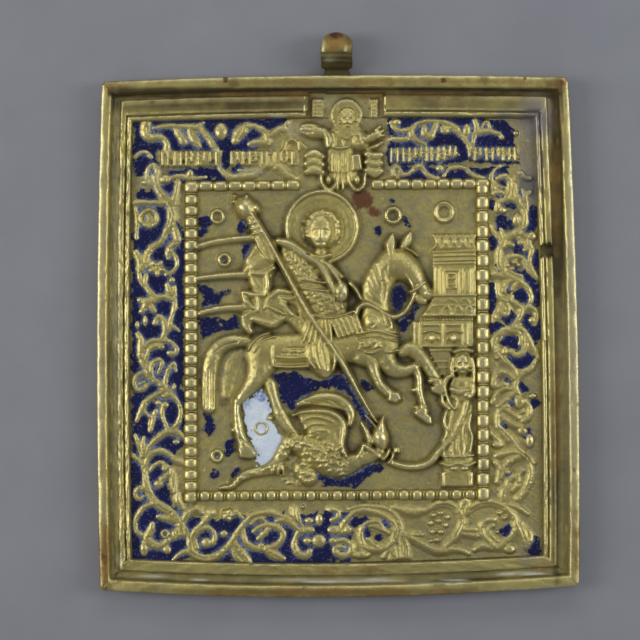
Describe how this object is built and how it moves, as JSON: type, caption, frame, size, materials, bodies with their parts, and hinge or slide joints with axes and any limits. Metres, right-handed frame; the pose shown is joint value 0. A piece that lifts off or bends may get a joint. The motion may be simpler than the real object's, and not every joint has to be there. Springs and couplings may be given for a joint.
{
  "type": "travel icon",
  "caption": "Small cast brass plaque with a suspension loop, a relief of a rider spearing a dragon in a vine border, and blue and white enamel.",
  "frame": {"origin": "middle of the plaque's flat back", "axes": "+X to the right of the picture, +Y to its top, +Z out of its face; the plaque lies on its back"},
  "size_m": [0.0942, 0.1104, 0.0073],
  "materials": {
    "cast_brass": "cast and hand finished, worn bright on the high places, with brown patina and dirt in the hollows",
    "blue_enamel": "glossy opaque cobalt enamel with pits and pale chipped edges",
    "white_enamel": "glossy opaque bluish-white enamel"
  },
  "bodies": {
    "root": {"casting": "cast_brass", "enamel_white": "white_enamel", "enamel_blue_belly": "blue_enamel", "enamel_blue_chin": "blue_enamel", "enamel_blue_cloak": "blue_enamel"}
  },
  "joints": []
}
